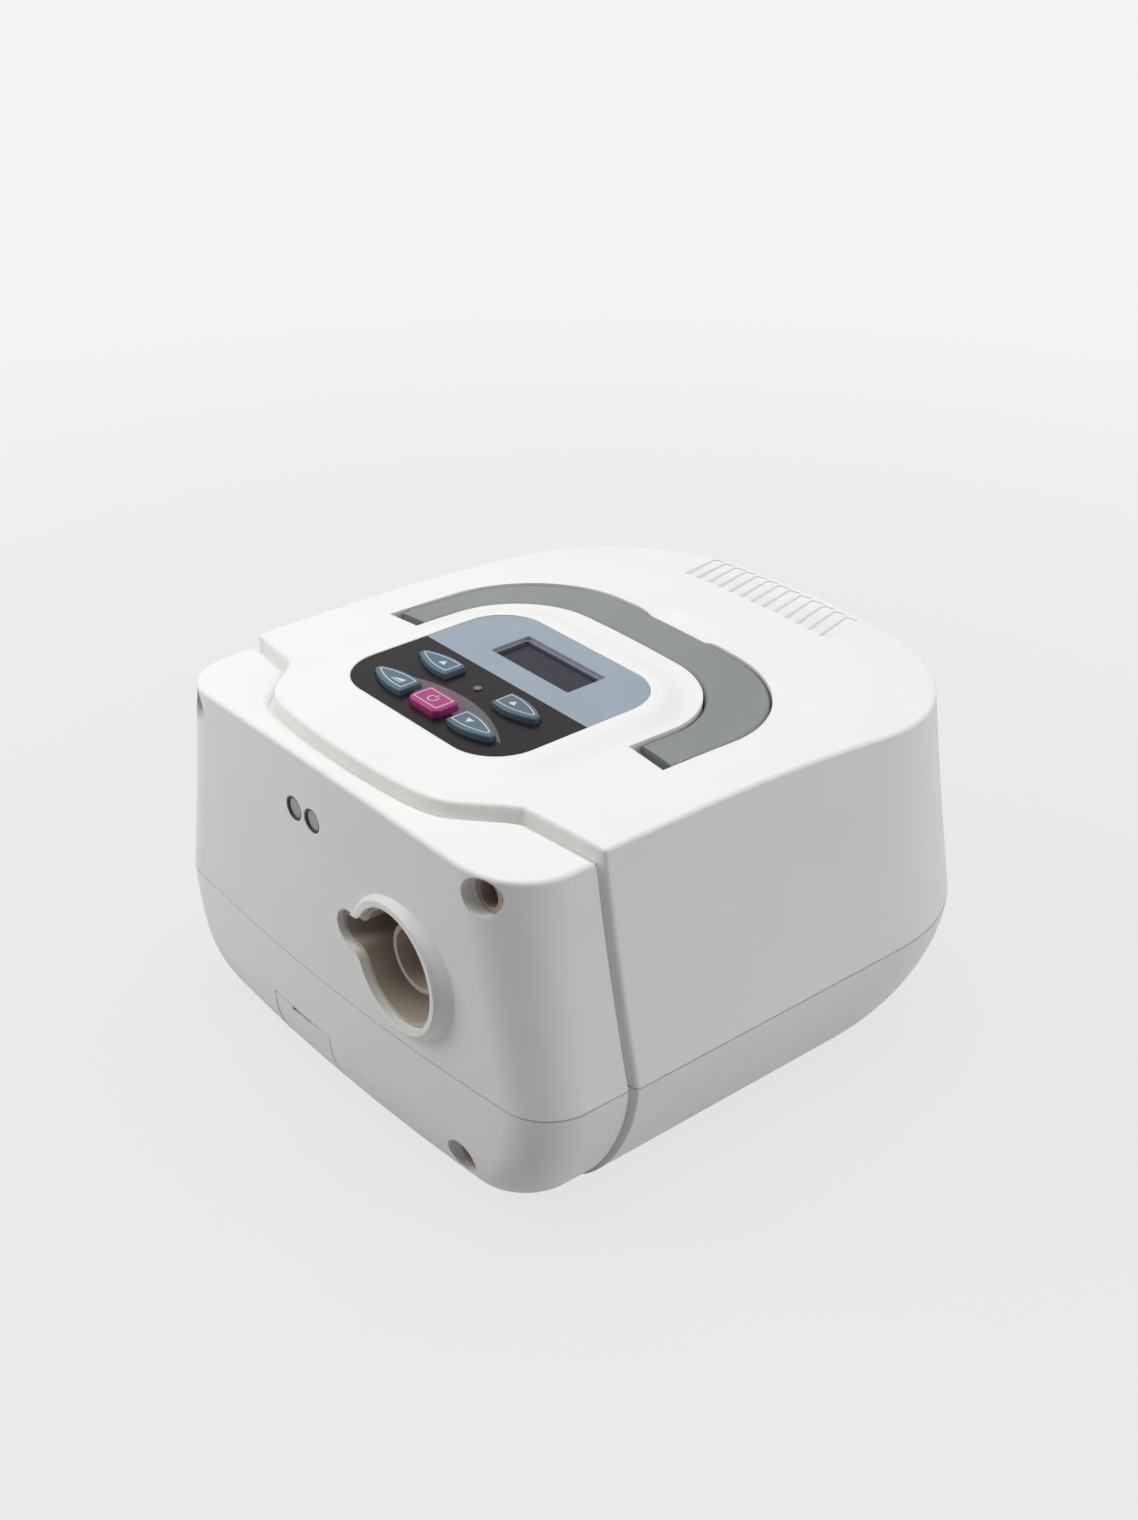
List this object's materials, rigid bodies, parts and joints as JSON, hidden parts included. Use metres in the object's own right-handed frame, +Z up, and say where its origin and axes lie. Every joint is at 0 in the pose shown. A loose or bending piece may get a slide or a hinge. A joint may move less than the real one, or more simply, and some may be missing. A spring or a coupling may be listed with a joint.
{
  "type": "bedside air pressure machine",
  "caption": "Compact bedside breathing-air machine with a fold-up carrying handle, keypad with display, front air outlet and rear filter and power inlet.",
  "frame": {"origin": "on the surface that the machine stands on, under the middle of its bounding box", "axes": "+Z up, -Y towards the front with the air outlet, +X to the right seen from the front"},
  "size_m": [0.194, 0.2078, 0.1287],
  "materials": {
    "casing_shell": "satin white moulding",
    "handle_plastic": "satin grey moulding",
    "steel": "plain",
    "panel_skin": "printed gloss film",
    "clear_window": "clear",
    "display_face": "dark display",
    "clear_light": "clear lens",
    "key_plastic": "satin slate blue",
    "power_key_plastic": "satin magenta",
    "black_plastic": "satin black",
    "circuit_board": "green solder mask",
    "socket_plastic": "satin beige",
    "soft_rubber": "soft black rubber",
    "contact_metal": "nickel plated",
    "brown_plastic": "satin dark brown",
    "inner_plastic": "natural moulding",
    "motor_can": "dark steel can",
    "foam": "open foam",
    "fuse_body": "ceramic fuse",
    "port_plastic": "white socket",
    "coil": "taped winding",
    "aluminium": "extruded",
    "clear_tube": "translucent silicone",
    "ribbon": "flat cable",
    "foot_rubber": "grey rubber"
  },
  "bodies": {
    "casing": {"upper_housing": "casing_shell", "lower_housing": "casing_shell", "handle_pins": "steel", "control_overlay": "panel_skin", "display_window": "clear_window", "display_module": "display_face", "indicator_light": "clear_light", "push_switches": "black_plastic", "control_board": "circuit_board", "outlet_socket": "socket_plastic", "outlet_tube": "socket_plastic", "outlet_coupling": "soft_rubber", "contact_bezels": "black_plastic", "contact_pins": "contact_metal", "contact_board": "circuit_board", "card_reader": "black_plastic", "volute_lower": "inner_plastic", "volute_upper": "inner_plastic", "blower_motor": "motor_can", "blower_mounts": "soft_rubber", "silencer_box": "inner_plastic", "silencer_foam": "foam", "filter_box": "inner_plastic", "air_filter": "foam", "power_inlet": "black_plastic", "inlet_blades": "contact_metal", "data_port": "port_plastic", "port_tongue": "black_plastic", "main_board": "circuit_board", "power_board": "circuit_board", "transformer": "coil", "capacitors": "black_plastic", "heat_sink": "aluminium", "processor": "black_plastic", "pressure_sensor": "black_plastic", "sensing_tube": "clear_tube", "panel_ribbon": "ribbon", "rubber_feet": "foot_rubber", "housing_screws": "steel", "board_screws": "steel", "front_screws": "steel", "well_bushings": "brown_plastic"},
    "handle": {"carry_handle": "handle_plastic"},
    "left_key": {"left_key": "key_plastic"},
    "down_key": {"down_key": "key_plastic"},
    "up_key": {"up_key": "key_plastic"},
    "right_key": {"right_key": "key_plastic"},
    "power_key": {"power_key": "power_key_plastic"},
    "card_door": {"card_door": "casing_shell"},
    "filter_cap": {"filter_cap": "casing_shell"},
    "rotor": {"impeller": "inner_plastic", "motor_shaft": "steel"},
    "fuse_drawer": {"fuse_drawer": "black_plastic", "fuse": "fuse_body"}
  },
  "joints": [
    {"name": "handle_hinge", "type": "hinge", "parent": "casing", "child": "handle", "pos_m": [0, -0.0186, 0.11796], "axis": [1, 0, 0], "range_deg": [0, 95]},
    {"name": "card_door_hinge", "type": "hinge", "parent": "casing", "child": "card_door", "pos_m": [-0.0174, -0.09645, 0.0106], "axis": [1, 0, 0], "range_deg": [0, 75]},
    {"name": "filter_cap_slide", "type": "slide", "parent": "casing", "child": "filter_cap", "axis": [0, 1, 0], "range_m": [0, 0.012]},
    {"name": "fuse_drawer_slide", "type": "slide", "parent": "casing", "child": "fuse_drawer", "axis": [0, 1, 0], "range_m": [0, 0.016]},
    {"name": "rotor_spin", "type": "hinge", "parent": "casing", "child": "rotor", "pos_m": [0, 0.022, 0.06], "axis": [0, 0, 1], "continuous": true},
    {"name": "left_key_press", "type": "slide", "parent": "casing", "child": "left_key", "axis": [0, 0, -1], "range_m": [0, 0.0009], "stiffness_N_per_m": 600, "springref_m": -0.0005},
    {"name": "down_key_press", "type": "slide", "parent": "casing", "child": "down_key", "axis": [0, 0, -1], "range_m": [0, 0.0009], "stiffness_N_per_m": 600, "springref_m": -0.0005},
    {"name": "up_key_press", "type": "slide", "parent": "casing", "child": "up_key", "axis": [0, 0, -1], "range_m": [0, 0.0009], "stiffness_N_per_m": 600, "springref_m": -0.0005},
    {"name": "right_key_press", "type": "slide", "parent": "casing", "child": "right_key", "axis": [0, 0, -1], "range_m": [0, 0.0009], "stiffness_N_per_m": 600, "springref_m": -0.0005},
    {"name": "power_key_press", "type": "slide", "parent": "casing", "child": "power_key", "axis": [0, 0, -1], "range_m": [0, 0.0009], "stiffness_N_per_m": 600, "springref_m": -0.0005}
  ]
}
